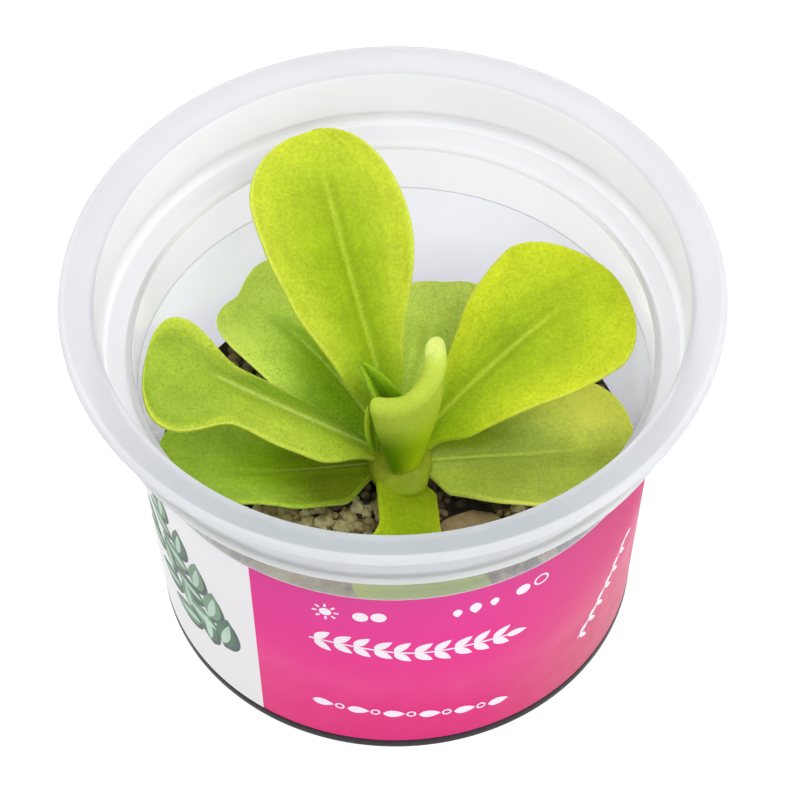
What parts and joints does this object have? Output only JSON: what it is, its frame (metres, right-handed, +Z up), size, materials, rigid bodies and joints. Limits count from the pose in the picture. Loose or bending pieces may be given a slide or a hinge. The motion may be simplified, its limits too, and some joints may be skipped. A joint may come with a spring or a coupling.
{
  "type": "butterwort in a tub",
  "caption": "Young butterwort: a low rosette of soft spoon-shaped leaves on a short crown, rooted in a gritty mix inside a clear round tub with a broad flat rim and a plain wrap-round label.",
  "frame": {"origin": "middle of the tub's foot, on the surface it stands on", "axes": "+Z up along the tub's axis, -Y towards the viewer's side with the curled leaf, +X to the right seen from there"},
  "size_m": [0.0996, 0.0996, 0.0667],
  "materials": {
    "polypropylene": "translucent, clear body with a frosted rim",
    "label": "smooth printed film, plain pink",
    "soil": "rough angular grit in a dark mix",
    "crown": "soft plant tissue, satin",
    "leaf_bright": "soft leaf, velvety satin",
    "leaf_shaded": "soft leaf, velvety satin",
    "leaf_young": "soft young leaf, velvety satin"
  },
  "bodies": {
    "root": {"tub": "polypropylene", "label": "label", "soil": "soil", "crown": "crown", "leaf_back_tall": "leaf_bright", "leaf_right": "leaf_bright", "leaf_left": "leaf_bright", "leaf_lower_left": "leaf_shaded", "leaf_lower_right": "leaf_shaded", "leaf_back_left": "leaf_shaded", "leaf_back_right": "leaf_shaded", "leaf_front": "leaf_bright", "leaf_small_centre": "leaf_bright", "leaf_small_left": "leaf_bright", "leaf_curled_centre": "leaf_young"}
  },
  "joints": []
}
